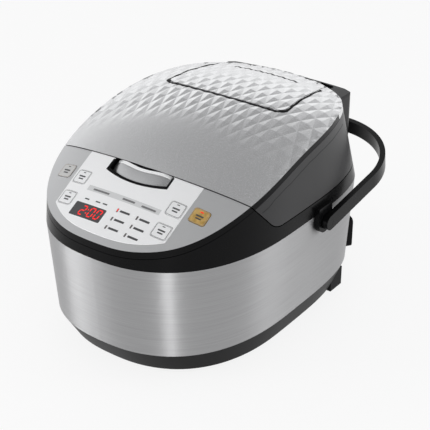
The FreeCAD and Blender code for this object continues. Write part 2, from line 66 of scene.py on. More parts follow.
def new_material(name, color, rough=0.4, metal=0.0, coat=0.0, gloss=0.5):
    """A Principled material, its node tree and its shader."""
    mat = bpy.data.materials.new(name)
    mat.use_nodes = True
    tree = mat.node_tree
    shader = tree.nodes["Principled BSDF"]
    shader.inputs["Base Color"].default_value = (*color, 1)
    shader.inputs["Roughness"].default_value = rough
    shader.inputs["Metallic"].default_value = metal
    shader.inputs["Coat Weight"].default_value = coat
    shader.inputs["Coat Roughness"].default_value = COAT_ROUGH
    shader.inputs["Specular IOR Level"].default_value = gloss
    mat.diffuse_color = (*color, 1)
    return mat, tree, shader


def coords(tree, scale=(1, 1, 1)):
    """Object coordinates, stretched by a scale on each axis."""
    where = tree.nodes.new("ShaderNodeTexCoord")
    stretch = tree.nodes.new("ShaderNodeMapping")
    stretch.inputs["Scale"].default_value = scale
    tree.links.new(where.outputs["Object"], stretch.inputs["Vector"])
    return stretch.outputs["Vector"]


def noise(tree, vector, scale, detail=3.0):
    """Noise with a number of cells to the metre."""
    grain = tree.nodes.new("ShaderNodeTexNoise")
    grain.inputs["Scale"].default_value = scale
    grain.inputs["Detail"].default_value = detail
    tree.links.new(vector, grain.inputs["Vector"])
    return grain.outputs["Fac"]


print("shader tools ready")

# %% [markdown]
# Grain
# Paint, plastic and metal are never quite even: flakes, mould texture and scratches change colour,
# gloss and relief together. One noise value drives all three, so that they agree, where separate
# textures would drift apart.

# %% Grain
UM = 0.001 * MM
RAMP_PLACES = (0.3, 0.7)
GRAIN_RELIEF = 0.25
ROUGH_SWING = 0.05


def ramp(tree, value, low, high):
    """Maps a value onto two colours."""
    node = tree.nodes.new("ShaderNodeValToRGB")
    for stop, place, color in zip(node.color_ramp.elements, RAMP_PLACES, (low, high)):
        stop.position = place
        stop.color = (*color, 1)
    tree.links.new(value, node.inputs["Fac"])
    return node.outputs["Color"]


def spread(tree, value, low, high):
    """Maps a value from 0..1 onto a range."""
    node = tree.nodes.new("ShaderNodeMapRange")
    node.inputs["To Min"].default_value = low
    node.inputs["To Max"].default_value = high
    tree.links.new(value, node.inputs["Value"])
    return node.outputs["Result"]


def bump(tree, shader, value, strength, depth):
    """Relief from a value, with its depth in thousandths of a millimetre."""
    node = tree.nodes.new("ShaderNodeBump")
    node.inputs["Strength"].default_value = strength
    node.inputs["Distance"].default_value = depth * UM
    tree.links.new(value, node.inputs["Height"])
    tree.links.new(node.outputs["Normal"], shader.inputs["Normal"])


def grained(name, color, rough, tint, scale, depth, metal=0.0, coat=0.0, gloss=0.5,
            stretch=(1, 1, 1)):
    """A finish whose grain shades its colour, roughness and relief."""
    mat, tree, shader = new_material(name, color, rough, metal, coat, gloss)
    value = noise(tree, coords(tree, stretch), scale)
    low = [c * (1 - tint) for c in color]
    high = [min(1.0, c * (1 + tint)) for c in color]
    rough_value = spread(tree, value, rough - ROUGH_SWING, rough + ROUGH_SWING)
    tree.links.new(ramp(tree, value, low, high), shader.inputs["Base Color"])
    tree.links.new(rough_value, shader.inputs["Roughness"])
    bump(tree, shader, value, GRAIN_RELIEF, depth)
    return mat


print("grain tools ready")

# %% [markdown]
# Silver, film and keys
# The lid and the panel are moulded plastic with a silver paint, whose fine flake makes it partly
# metallic. The film and the grey keys are pale prints, so they have little metal. A fully metallic
# shader would look like bare sheet, and a plain grey one like primer.

# %% Silver, film and keys
silver = grained("silver_paint", (0.66, 0.665, 0.67), 0.26, 0.04, 2600, depth=5, metal=0.85)
quilted = grained("quilted_silver", (0.69, 0.695, 0.70), 0.26, 0.04, 2600, depth=5, metal=0.85)
panel_silver = grained("panel_silver", (0.55, 0.555, 0.56), 0.34, 0.04, 2600, depth=5, metal=0.6)
latch_silver = grained("latch_silver", (0.50, 0.505, 0.51), 0.27, 0.03, 2600, depth=4, metal=0.85)
# The next finish is a painted highlight: the latch's facet along the lid is silver, painted pale
# where light catches it.
latch_painted_highlight = grained("latch_painted_highlight", (0.93, 0.935, 0.94), 0.36, 0.02, 2600, depth=4, metal=0.1)
film = grained("pale_film", (0.83, 0.835, 0.84), 0.34, 0.02, 1800, depth=5, metal=0.15)
key_grey = grained("grey_key", (0.80, 0.805, 0.81), 0.36, 0.02, 1800, depth=6, metal=0.15)
key_dim = grained("dim_key", (0.56, 0.56, 0.55), 0.36, 0.03, 1800, depth=6, metal=0.4, coat=0.15)
print("silver finishes from", silver.name, "to", key_dim.name)

# %% [markdown]
# Dark mouldings
# The rim, the lid's wall, the base and the handle are dark plastic, glossy above and satin below.
# They differ in gloss more than in colour, so the shader's specular level sets them apart. A
# colour of pure black would hide every edge.

# %% Dark mouldings
black = grained("dark_gloss", (0.003, 0.003, 0.0033), 0.24, 0.15, 1200, depth=6, gloss=0.09)
lid_dark = grained("dark_grey_lid", (0.022, 0.022, 0.023), 0.34, 0.10, 1400, depth=10, gloss=0.25)
satin = grained("dark_satin", (0.006, 0.006, 0.0065), 0.40, 0.18, 1500, depth=20, gloss=0.06)
housing = grained("dark_grey_satin", (0.008, 0.008, 0.009), 0.34, 0.12, 1500, depth=20, gloss=0.25)
line_ink = grained("seam_black", (0.003, 0.003, 0.0035), 0.55, 0.15, 2000, depth=10, gloss=0.10)
rubber = grained("rubber", (0.035, 0.035, 0.035), 0.75, 0.2, 900, depth=50)
print("dark finishes from", black.name, "to", rubber.name)

# %% [markdown]
# What is inside
# The open lid shows a spun aluminium plate, a silicone seal and a coated pot, and behind the casing
# are plated steel, brass pins and green boards. They are seen less, so one grained shader each is
# enough. Only the aluminium's grain is drawn out, because spinning leaves long marks.

# %% What is inside
SPUN = (1, 1, 0.06)
aluminium = grained("aluminium", (0.72, 0.72, 0.73), 0.34, 0.05, 700, depth=10, metal=1.0,
                    stretch=SPUN)
plated = grained("plated_steel", (0.58, 0.58, 0.60), 0.38, 0.10, 300, depth=10, metal=1.0)
brass = grained("brass", (0.66, 0.50, 0.22), 0.30, 0.08, 400, depth=10, metal=1.0)
coat = grained("pot_coat", (0.055, 0.055, 0.058), 0.42, 0.30, 2400, depth=20, metal=0.1)
seal = grained("white_seal", (0.72, 0.72, 0.69), 0.55, 0.05, 500, depth=30)
board = grained("circuit_board", (0.05, 0.17, 0.07), 0.45, 0.25, 220, depth=20, coat=0.2)
window = grained("smoked_window", (0.045, 0.045, 0.048), 0.16, 0.06, 1500, depth=2, coat=0.3)
lamp_dark = grained("lamp_off", (0.10, 0.09, 0.09), 0.35, 0.10, 1500, depth=5, coat=0.2)
print("inner finishes from", aluminium.name, "to", lamp_dark.name)

# %% [markdown]
# Inks and lights
# The panel is printed in flat inks, and the figures and two lamps are lit. A light could stand
# behind the window, but an emission of the shader's own is steadier and throws no stray spots.

# %% Inks and lights
GLOW_DIM = 0.92
GLOW_GRAIN = 1500.0
ink = grained("dark_ink", (0.055, 0.055, 0.058), 0.50, 0.12, 2400, depth=4)
soft_ink = grained("soft_ink", (0.15, 0.15, 0.155), 0.50, 0.10, 2400, depth=4)
grey_ink = grained("grey_ink", (0.57, 0.575, 0.58), 0.50, 0.05, 2400, depth=4)
brown_ink = grained("brown_ink", (0.30, 0.24, 0.20), 0.50, 0.08, 2400, depth=4)


def glow(name, color, strength):
    """A lit segment or lamp."""
    mat, tree, shader = new_material(name, color)
    value = noise(tree, coords(tree), GLOW_GRAIN)
    dim = [c * GLOW_DIM for c in color]
    tree.links.new(ramp(tree, value, dim, color), shader.inputs["Base Color"])
    shader.inputs["Emission Color"].default_value = (*color, 1)
    shader.inputs["Emission Strength"].default_value = strength
    return mat


red = glow("red_light", (0.66, 0.006, 0.005), 0.75)
print("inks and", red.name)

# %% [markdown]
# Brushed steel
# The body is a steel sheet, brushed round the cooker. Each scratch is a tiny level groove, so a
# reflection is smeared upright, and lamps show as tall soft bands. The bands could be painted on,
# but they would then stay still when the cooker turns. Here the shader is rougher up and down than
# along the brushing, and the lamps draw the bands.

# %% Brushed steel
STEEL_GRAIN = (14, 14, 2600)
STEEL_DETAIL = 4.0
STEEL_LOW, STEEL_HIGH = (0.33, 0.33, 0.335), (0.41, 0.41, 0.415)
STEEL_ROUGH = (0.38, 0.50)
SMEAR, QUARTER_TURN = 0.9, 0.25


def brushed_steel():
    """Steel brushed round the body."""
    mat, tree, shader = new_material("brushed_steel", STEEL_HIGH, metal=1.0)
    fine = noise(tree, coords(tree, STEEL_GRAIN), 1.0, STEEL_DETAIL)
    tree.links.new(ramp(tree, fine, STEEL_LOW, STEEL_HIGH), shader.inputs["Base Color"])
    tree.links.new(spread(tree, fine, *STEEL_ROUGH), shader.inputs["Roughness"])
    bump(tree, shader, fine, 0.15, depth=10)
    round_body = tree.nodes.new("ShaderNodeTangent")
    round_body.direction_type = "RADIAL"
    round_body.axis = "Z"
    tree.links.new(round_body.outputs["Tangent"], shader.inputs["Tangent"])
    shader.inputs["Anisotropic"].default_value = SMEAR
    shader.inputs["Anisotropic Rotation"].default_value = QUARTER_TURN
    return mat


steel = brushed_steel()
print("steel smears reflections by", SMEAR)

# %% [markdown]
# Gold key
# The start key has a metallic gold print that is slightly cloudy. One flat colour would look like
# plain paint, so a coarse noise runs between a deep and a light gold.

# %% Gold key
GOLD_DEEP, GOLD_LIGHT = (0.46, 0.28, 0.065), (0.68, 0.46, 0.16)
GOLD_ROUGH = (0.28, 0.44)
GOLD_GRAIN, GOLD_DETAIL = 260.0, 4.0


def gold_key():
    """Gold with a cloudy metallic print."""
    mat, tree, shader = new_material("gold_key", (0.50, 0.32, 0.09), metal=0.45, coat=0.15)
    value = noise(tree, coords(tree), GOLD_GRAIN, GOLD_DETAIL)
    tree.links.new(ramp(tree, value, GOLD_DEEP, GOLD_LIGHT), shader.inputs["Base Color"])
    tree.links.new(spread(tree, value, *GOLD_ROUGH), shader.inputs["Roughness"])
    bump(tree, shader, value, 0.1, depth=10)
    return mat


gold = gold_key()
print("gold key finish", gold.name)

# %% [markdown]
# A finish on every node
# Each CAD node is one moulding or sheet, so it takes one finish. The mesh stays as it is, and only
# its list of materials changes.

# %% A finish on every node
FINISH = {
    "base_tray": satin, "front_feet": rubber, "rear_feet": satin, "steel_wrap": steel,
    "upper_frame": black, "control_panel": panel_silver, "panel_film": film,
    "display_window": window, "display_module": satin, "control_board": board,
    "key_switches": satin, "function_lamps": lamp_dark, "power_board": board,
    "board_posts": satin, "inner_tub": plated, "heating_plate": aluminium, "plate_posts": plated,
    "sensor_guide": satin, "inner_pot": coat, "power_inlet": satin, "inlet_pins": brass,
    "hinge_housing": housing, "hinge_pin": plated, "handle_pins": satin, "lid_shell": lid_dark,
    "lid_top_panel": silver, "lid_liner": satin, "inner_lid": aluminium, "pot_seal": seal,
    "steam_cup": satin, "steam_cover": silver, "carry_handle": black, "latch_button": silver,
    "pot_sensor": aluminium, "key_upper_left": key_grey, "key_upper_right": key_grey,
    "key_lower_left": key_grey, "key_lower_right": key_grey, "key_cancel": key_dim,
    "key_start": gold,
}
for name, mat in FINISH.items():
    obj = nodes[name]
    obj.data.materials.clear()
    obj.data.materials.append(mat)
print("finishes on", len(FINISH), "nodes")

# %% [markdown]
# Pattern of the quilting
# The lid is embossed with long diamonds that fade out towards its smooth front. The relief could be
# a bump in the material, but then its outline would stay smooth. Here a function gives the depth at
# any place in plan: nothing in the middle of a diamond, most on the lines between, so each diamond
# stands as a shallow pyramid.

# %% Pattern of the quilting
QUILT_X, QUILT_Y, QUILT_Y0 = 7.785 * MM, 17.8 * MM, 20.6 * MM
QUILT_DEPTH = 1.2 * MM
FADE_START, FADE_SWEEP, FADE_HALF, FADE_LENGTH = -64 * MM, 40 * MM, 115 * MM, 54 * MM


def fade(x, y):
    """How far the quilting has grown at a place: none near the lid's front, full over its rear."""
    start = FADE_START - FADE_SWEEP * min(1.0, abs(x) / FADE_HALF) ** 2
    t = min(1.0, max(0.0, (y - start) / FADE_LENGTH))
    return t * t * (3 - 2 * t)


def diamond(x, y):
    """Place inside a diamond, in two slanting coordinates from -1 to 1."""
    u = x / QUILT_X + (y - QUILT_Y0) / QUILT_Y
    v = x / QUILT_X - (y - QUILT_Y0) / QUILT_Y
    return u - 2 * round(u / 2), v - 2 * round(v / 2)


def quilt_depth(x, y):
    """How deep the quilting lies below the skin."""
    u, v = diamond(x, y)
    return QUILT_DEPTH * fade(x, y) * max(abs(u), abs(v))


print("diamonds of", round(2 * QUILT_X / MM, 1), "by", round(2 * QUILT_Y / MM, 1), "mm")

# %% [markdown]
# Silver skins
# The lid's skin, the steam cover and the panel are thin mouldings, silver on top and dark on the
# edge that goes down into a gap. A copy of a solid becomes such a skin: its loose triangles are
# merged first, its upright faces turn dark, and its folds stay crisp.

# %% Silver skins
MERGE, CLOSE = 0.01 * MM, 0.001 * MM
SKIRT_FACING = 0.15
FOLD = math.radians(3)


def merged_copy(node):
    """A mesh to work on, from a node's triangles."""
    bm = bmesh.new()
    bm.from_mesh(nodes[node].data)
    bmesh.ops.remove_doubles(bm, verts=bm.verts, dist=MERGE)
    bm.normal_update()
    return bm


def new_object(name, bm, *mats):
    """An object at the origin from a mesh."""
    mesh = bpy.data.meshes.new(name)
    bm.to_mesh(mesh)
    bm.free()
    obj = bpy.data.objects.new(name, mesh)
    bpy.context.scene.collection.objects.link(obj)
    for mat in mats:
        obj.data.materials.append(mat)
    return obj


def dress(bm, name, node, body, mat):
    """Makes a silver piece from a mesh: dark on its upright skirt, with crisp edges."""
    for f in bm.faces:
        f.smooth = True
        f.material_index = 0 if f.normal.z > SKIRT_FACING else 1
    for e in bm.edges:
        if len(e.link_faces) == 2:
            e.smooth = e.calc_face_angle(0) < FOLD
    obj = new_object(name, bm, mat, black)
    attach(obj, body)
    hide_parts(node)
    print(name, len(obj.data.polygons), "faces")
    return obj


print("skins turn dark where they face up by less than", SKIRT_FACING)

# %% [markdown]
# Quilted lid
# To fold along the diamonds, the skin needs edges there. Planes cut its top along the axes of the
# diamonds and along the two families of slanting lines. A fine grid could be pressed instead, but
# its folds would be ragged. The outer rim keeps its height, so that it still meets the dark wall.

# %% Quilted lid
TOP_FACING = 0.35
AXIS_CUTS, ROW_CUTS, SLANT_CUTS = range(-17, 18), range(-12, 13), range(-27, 28, 2)
SMOOTH_FRONT = -100 * MM
COVER_SIDE, COVER_REAR = 83 * MM, 106 * MM


def faces_up(face):
    return face.normal.z > TOP_FACING


def cut_top(bm, point, normal):
    """Cuts what faces up along a plane."""
    faces = [f for f in bm.faces if faces_up(f)]
    edges = list({e for f in faces for e in f.edges})
    verts = list({v for f in faces for v in f.verts})
    bmesh.ops.bisect_plane(bm, geom=faces + edges + verts, dist=CLOSE, plane_co=point,
                           plane_no=normal)


def cut_diamonds(bm, low, high):
    """Cuts the top along the axes and the sides of the diamonds."""
    for n in AXIS_CUTS:
        if low[0] < n * QUILT_X < high[0]:
            cut_top(bm, (n * QUILT_X, 0, 0), (1, 0, 0))
    for n in ROW_CUTS:
        y = QUILT_Y0 + n * QUILT_Y
        if low[1] < y < high[1] and y > SMOOTH_FRONT:
            cut_top(bm, (0, y, 0), (0, 1, 0))
    for n in SLANT_CUTS:
        for sign in (1, -1):
            cut_top(bm, (n * QUILT_X, QUILT_Y0, 0), (1 / QUILT_X, sign / QUILT_Y, 0))
    bm.normal_update()


def press_diamonds(bm):
    """Sinks the lines between the diamonds, but not the outer rim."""
    tops = {v for f in bm.faces if faces_up(f) for v in f.verts}
    rim = set()
    for e in bm.edges:
        if len({faces_up(f) for f in e.link_faces}) == 2:
            rim.update(v for v in e.verts
                       if abs(v.co.x) > COVER_SIDE or not 0.0 < v.co.y < COVER_REAR)
    sink = {}
    for v in tops - rim:
        up = sum((f.normal for f in v.link_faces if faces_up(f)), Vector()).normalized()
        sink[v] = up * quilt_depth(v.co.x, v.co.y)
    for v, step in sink.items():
        v.co -= step
    bm.normal_update()


def quilt(node, body):
    """A quilted copy of a silver node."""
    bm = merged_copy(node)
    low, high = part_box(node)
    cut_diamonds(bm, low, high)
    press_diamonds(bm)
    return dress(bm, node + "_quilted", node, body, quilted)


quilted_lid = quilt("lid_top_panel", "lid")
quilted_cover = quilt("steam_cover", "steam_cover")

# %% [markdown]
# Panel skin
# The panel is smooth, so its copy is dressed without any pressing. The solid could be shown as it
# is, but its upright edge would then be silver too, and the dark joint round it would be lost.

# %% Panel skin
panel_copy = merged_copy("control_panel")
dress(panel_copy, "panel_skin", "control_panel", "cooker", panel_silver)

# %% [markdown]
# Dropping onto a surface
# A printed mark has no thickness to speak of and follows the curve below it. A texture could draw
# it, but a thin sheet stays sharp at any distance. An operator makes a grid or a polygon, and its
# corners are then dropped straight down onto the piece below.

# %% Dropping onto a surface
SKY_HIGH = 0.5
DOWN = Vector((0, 0, -1))


def surface(*objects):
    """What a sheet can be dropped onto."""
    verts, faces = [], []
    for obj in objects:
        start = len(verts)
        verts += [v.co.copy() for v in obj.data.vertices]
        faces += [[start + i for i in p.vertices] for p in obj.data.polygons]
    return BVHTree.FromPolygons(verts, faces)


def below(ground, x, y):
    """The point and the normal of a surface below a place in plan, or nothing."""
    return ground.ray_cast(Vector((x, y, SKY_HIGH)), DOWN)[:2]


def drop(ground, x, y, lift):
    """The point of a surface below a place in plan, lifted a little off it."""
    point, normal = below(ground, x, y)
    if point is None:
        raise ValueError("nothing below %.4f %.4f" % (x, y))
    return point + normal * lift


def drape(bm, rows):
    """Adds a grid to a mesh and moves its corners to rows of points."""
    across, along = len(rows[0]) - 1, len(rows) - 1
    grid = bmesh.ops.create_grid(bm, x_segments=across, y_segments=along, size=1)
    corners = sorted(grid["verts"], key=lambda v: (round(v.co.y, 5), v.co.x))
    for corner, point in zip(corners, [p for row in rows for p in row]):
        corner.co = point


def polygon(bm, points):
    """Adds one polygon to a mesh."""
    made = bmesh.ops.create_circle(bm, cap_ends=True, segments=len(points), radius=1)
    corners = sorted(made["verts"], key=lambda v: math.atan2(v.co.y, v.co.x))
    for corner, point in zip(corners, points):
        corner.co = point


print("sheets can be dropped")

# %% [markdown]
# Pieces from sheets
# Every added piece ends in the same way: doubles merged, faces outwards, folds crisp, and riding on
# the body that it is fixed to, so that it moves with it. An open sheet has no inside for Blender to
# go by, so its faces are turned away from the middle of the cooker.

# %% Pieces from sheets
MIDDLE = Vector((0, 0, 0.10))
CRISP = math.radians(25)


def piece(name, body, mat, bm):
    """Makes an object that rides on a body from a mesh."""
    bmesh.ops.remove_doubles(bm, verts=bm.verts, dist=CLOSE)
    bmesh.ops.recalc_face_normals(bm, faces=bm.faces)
    if any(e.is_boundary for e in bm.edges):
        inward = [f for f in bm.faces if f.normal.dot(f.calc_center_median() - MIDDLE) < 0]
        bmesh.ops.reverse_faces(bm, faces=inward)
    for f in bm.faces:
        f.smooth = True
    for e in bm.edges:
        if len(e.link_faces) == 2 and e.calc_face_angle(0) > CRISP:
            e.smooth = False
    obj = new_object(name, bm, mat)
    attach(obj, body)
    return obj


def dark_sheet(name, body, rows):
    """A dark line: one sheet draped over rows of points."""
    bm = bmesh.new()
    drape(bm, rows)
    return piece(name, body, line_ink, bm)


print("sheets can ride on a body")

# %% [markdown]
# Sheets of prints
# The panel slopes, so a mark's size is measured up the slope and not in plan. Marks that share a
# body and an ink go into one mesh, as they would onto one printing plate. Places and sizes are in
# millimetres.

# %% Sheets of prints
UP_SLOPE = Vector((0, 0.8605, 0.5094))
OFF_PANEL = Vector((0, -0.5094, 0.8605))
PRINT_LIFT, INK_LIFT, LIT_LIFT = 0.06 * MM, 0.10 * MM, 0.08 * MM
PROBE = 10 * MM
CORNER_STEPS = 5


class Sheet:
    """Collects prints that share a body and a finish into one mesh."""

    def __init__(self, ground, lift=PRINT_LIFT):
        self.ground, self.lift = ground, lift
        self.bm = bmesh.new()

    def lay(self, x, y, u, v):
        """A point of the surface, u across and v up the slope from a place."""
        start = drop(self.ground, x * MM, y * MM, 0) + UP_SLOPE * v * MM + OFF_PANEL * PROBE
        start.x += u * MM
        point, normal, _, _ = self.ground.ray_cast(start, -OFF_PANEL)
        if point is None:
            raise ValueError("nothing below %.1f %.1f at %.1f %.1f" % (u, v, x, y))
        return point + normal * self.lift

    def bar(self, x, y, wide, tall, steps=6):
        """A bar that bends with the surface, centred at a place."""
        rows = []
        for v in (-tall / 2, tall / 2):
            places = [wide * (i / steps - 0.5) for i in range(steps + 1)]
            rows.append([self.lay(x, y, u, v) for u in places])
        drape(self.bm, rows)

    def shape(self, x, y, points, slant=0.0):
        """One flat polygon round a place."""
        polygon(self.bm, [self.lay(x, y, u + slant * v, v) for u, v in points])

    def plate(self, x, y, wide, tall, rise=0.0, slant=0.0):
        """A small flat bar, some way up the slope from a place."""
        w, low, high = wide / 2, rise - tall / 2, rise + tall / 2
        self.shape(x, y, [(-w, low), (w, low), (w, high), (-w, high)], slant)

    def ring(self, x, y, wide, tall, corner, line):
        """A rounded outline of a line's width."""
        rows = []
        for inset in (0.0, line):
            loop = []
            w, t, r = wide / 2 - inset, tall / 2 - inset, corner - inset
            for k, (sx, sy) in enumerate(((1, 1), (-1, 1), (-1, -1), (1, -1))):
                for i in range(CORNER_STEPS + 1):
                    a = math.radians(90 * (k + i / CORNER_STEPS))
                    u, v = sx * (w - r) + r * math.cos(a), sy * (t - r) + r * math.sin(a)
                    loop.append(self.lay(x, y, u, v))
            rows.append(loop + loop[:1])
        drape(self.bm, rows)

    def make(self, name, body, mat, slot):
        return piece(name, body, mat, self.bm)


print("print tools ready")

# %% [markdown]
# Bars on the film
# The pale film carries a grey heading band and rows of plain dark bars beside the lamps. An image
# on the film could hold them, but thin sheets stay sharp and need no file. The bars lie a little
# above the band, so that they don't flicker against it.

# %% Bars on the film
HEADING_Y, CLOCK_Y, LAMP_Y = -156.0, -166.8, -168.0
LAMP_ROW = 9.4
BAR_X, BAR_COLUMN = 14.7, 25.5
film_ground = surface(nodes["panel_film"])
band = Sheet(film_ground)
band.bar(2.0, HEADING_Y, 96, 6.4, steps=24)
band.make("heading_band", "cooker", grey_ink, "grey_key")
headings = Sheet(film_ground, INK_LIFT)
for x, wide in ((-27.0, 22), (10.0, 16), (36.0, 18)):
    headings.bar(x, HEADING_Y, wide, 2.2)
headings.make("heading_words", "cooker", soft_ink, "black_satin")
bars = Sheet(film_ground, INK_LIFT)
for x in (-37.5, -22.5, -13.0):
    bars.bar(x, CLOCK_Y, 6.0, 1.5)
for column in range(2):
    for row in range(3):
        bars.bar(BAR_X + BAR_COLUMN * column, LAMP_Y - LAMP_ROW * row, 12.5, 2.4)
print("bars on the film,", len(bars.bm.faces), "faces")
bars.make("panel_words", "cooker", ink, "black_satin")

# %% [markdown]
# Marks on the keys
# Each key has a thin rounded outline and plain marks. They could be part of the panel's print, but
# a key sinks when it is pressed, so its marks ride on that key. The start key has a small lit bar
# where the others have a dark one.

# %% Marks on the keys
KEYS = {
    "key_upper_left": (-63.0, -145.8), "key_lower_left": (-63.0, -169.5),
    "key_upper_right": (63.0, -145.8), "key_lower_right": (63.0, -169.5),
    "key_cancel": (-89.0, -141.4), "key_start": (89.0, -141.4),
}
OUTLINE = {"wide": 17.2, "tall": 15.6, "corner": 2.4, "line": 0.45}
OUTLINE_DOWN = 0.3
for name, (x, y) in KEYS.items():
    top = surface(nodes[name])
    edge = Sheet(top)
    edge.ring(x, y - OUTLINE_DOWN, **OUTLINE)
    edge_ink = brown_ink if name in ("key_cancel", "key_start") else ink
    edge.make(name + "_outline", name, edge_ink, "black_satin")
    marks = Sheet(top)
    marks.plate(x, y, 8.6, 1.8, rise=0.4)
    marks.plate(x, y, 6.4, 1.6, rise=-2.8)
    if name == "key_start":
        lit = Sheet(top, LIT_LIFT)
        lit.plate(x, y, 4.0, 1.3, rise=5.0)
        lit.make("start_lamp", name, red, "lamp")
    else:
        marks.plate(x, y, 3.2, 1.0, rise=5.2)
    marks.make(name + "_marks", name, ink, "black_satin")
print("marks on", len(KEYS), "keys")

# %% [markdown]
# Lit lamp
# One of the six function lamps is on. The lamp bars are one CAD node with one finish, so the lit
# one gets a red sheet of its own. A second finish on the node would mean changing its mesh.

# %% Lit lamp
lit_lamp = Sheet(surface(nodes["function_lamps"]), LIT_LIFT)
lit_lamp.bar(5.3, LAMP_Y, 1.2, 3.4, steps=1)
print("lit lamp", len(lit_lamp.bm.faces), "face")
lit_lamp.make("lit_lamp", "cooker", red, "lamp")

# %% [markdown]
# Display figures
# The display shows a time in lit segments behind a smoked window. A text object could write it, but
# its letters have no segments. Each segment is a six-sided sheet on the window, leaning a little as
# such figures do, with a gap between neighbours.

# %% Display figures
SEGMENTS = {"2": "abged", "0": "abcdef"}
FIGURE_WIDE, FIGURE_TALL, STROKE, SEGMENT_GAP, LEAN = 7.0, 12.4, 1.5, 0.22, 0.16
POINT = 0.7 * STROKE
DISPLAY_X, DISPLAY_Y = -26.8, -178.7
glass = Sheet(surface(nodes["display_window"]), LIT_LIFT)


def figure(mark, x, y):
    """One seven-segment figure."""
    w, t, s, g = FIGURE_WIDE / 2, FIGURE_TALL / 2, STROKE / 2, SEGMENT_GAP
    side, high = w - s, t - s
    flat = [(-side + g, 0), (-side + s + g, s), (side - s - g, s), (side - g, 0),
            (side - s - g, -s), (-side + s + g, -s)]
    upright = [(0, g + s / 2), (s, g + POINT), (s, high - POINT - g), (0, high - g),
               (-s, high - POINT - g), (-s, g + POINT)]
    places = {"a": (flat, 0, high), "g": (flat, 0, 0), "d": (flat, 0, -high),
              "b": (upright, side, 0), "c": (upright, side, -high),
              "f": (upright, -side, 0), "e": (upright, -side, -high)}
    for segment, (points, du, dv) in places.items():
        if segment in SEGMENTS[mark]:
            glass.shape(x, y, [(u + du, v + dv) for u, v in points], LEAN)


for mark, du in (("2", -6.4), ("0", 5.2), ("0", 14.2)):
    figure(mark, DISPLAY_X + du, DISPLAY_Y)
for dv in (-2.2, 2.2):
    glass.plate(DISPLAY_X - 0.6, DISPLAY_Y, 1.5, 1.5, rise=dv, slant=LEAN)
print("display figures", len(glass.bm.faces), "segments")
glass.make("display_figures", "cooker", red, "lamp")

# %% [markdown]
# Measuring the latch
# The latch button is bowed and sits in a sloping seam. Its new shape has to lie where the solid
# lies, so the solid is measured at the middle and at two distances from it, and a smooth curve runs
# through the three. Copying the solid's own edge would copy its facets too.

# %% Measuring the latch
PANEL_RISE = 0.592
MEASURED = 18.0 * MM
REAR_INSET = 2 * MM
SCAN_FRONT, SCAN_REAR, SCAN_STEP = -145 * MM, -105 * MM, 0.2 * MM
LATCH_FACING = 0.5
latch_ground = surface(nodes["latch_button"])


def latch_reach(x):
    """Rear and front edge of the latch at a distance from the middle."""
    hits = []
    y = SCAN_FRONT
    while y < SCAN_REAR:
        point, normal = below(latch_ground, x, y)
        if point is not None and normal.z > LATCH_FACING:
            hits.append(y)
        y += SCAN_STEP
    return max(hits), min(hits)


def through(values, x):
    """A smooth curve through the values at the middle and at two distances from it."""
    (a, b, c), t = values, (x / MEASURED) ** 2
    steep = (c - a - 4 * (b - a)) / 12
    return a + (b - a - steep) * t + steep * t * t


REARS, FRONTS = zip(*[latch_reach(k * MEASURED) for k in range(3)])
HEIGHTS = [drop(latch_ground, k * MEASURED, REARS[k] - REAR_INSET, 0).z for k in range(3)]


def on_latch(x, y, rise):
    """A point over the latch, some way off the panel's surface."""
    z = through(HEIGHTS, x) + PANEL_RISE * (y - through(REARS, x) + REAR_INSET)
    return Vector((x, y, z)) + OFF_PANEL * rise


print("latch is", round((REARS[0] - FRONTS[0]) / MM, 1), "mm deep in its middle")

# %% [markdown]
# Latch button
# The lid is opened with a bright bowed button: a rounded silver face, and along the lid a facet
# whose pale finish is a painted highlight. A bevelled box would have straight edges. Here one
# profile is repeated along the button as the rows of a grid, which gives both faces and the skirt
# that sinks into the panel, and the two open ends are filled.

# %% Latch button
LATCH_HALF, LATCH_SKIRT = 37.3 * MM, 2.4 * MM
FRONT_ROOM, END_LENGTH, END_HEIGHT = 0.4 * MM, 2.2 * MM, 0.55
LATCH_COLUMNS = 33
PROFILE = [(0.05, -0.9), (0.07, 0.1), (0.18, 0.55), (0.28, 0.95), (0.32, 0.95), (0.44, 0.65),
           (0.57, 0.2), (0.71, -0.4), (0.86, -1.1), (1.0, -2.0)]
PAINTED_HIGHLIGHT_SHARE, PAINTED_HIGHLIGHT_FACING = 0.28, 0.8


def latch_columns(half):
    """Places along the latch, from one end to the other."""
    return [half * (2 * i / (LATCH_COLUMNS - 1) - 1) for i in range(LATCH_COLUMNS)]


def latch_row(x):
    """The latch's profile and skirt at a distance from the middle."""
    rear, front = through(REARS, x), through(FRONTS, x) + FRONT_ROOM
    end = min(1.0, (LATCH_HALF - abs(x)) / END_LENGTH)
    tall = (END_HEIGHT + (1 - END_HEIGHT) * end) * MM
    row = [on_latch(x, rear + (front - rear) * share, rise * tall) for share, rise in PROFILE]
    for share in (1.0, PROFILE[0][0]):
        row.append(on_latch(x, rear + (front - rear) * share, -LATCH_SKIRT))
    return row + row[:1]


bm = bmesh.new()
drape(bm, [latch_row(x) for x in latch_columns(LATCH_HALF)])
bmesh.ops.remove_doubles(bm, verts=bm.verts, dist=CLOSE)
bmesh.ops.holes_fill(bm, edges=[e for e in bm.edges if e.is_boundary], sides=0)
latch = piece("latch_faceted", "latch", latch_silver, bm)
latch.data.materials.append(latch_painted_highlight)
# The facet along the lid takes the pale finish, which is a painted highlight.
for face in latch.data.polygons:
    x, y = face.center[0], face.center[1]
    share = (y - through(REARS, x)) / (through(FRONTS, x) - through(REARS, x))
    if face.normal.dot(OFF_PANEL) > PAINTED_HIGHLIGHT_FACING and share < PAINTED_HIGHLIGHT_SHARE:
        face.material_index = 1
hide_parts("latch_button")
print("latch", len(latch.data.polygons), "faces")

# %% [markdown]
# Seam round the steam cover
# The steam cover lifts out of the lid, and the joint round it reads as a dark line. The real gap is
# too fine to show, so a narrow dark sheet lies on the lid beside it. Its several rows follow the
# diamonds, where a plain strip would sink into them.

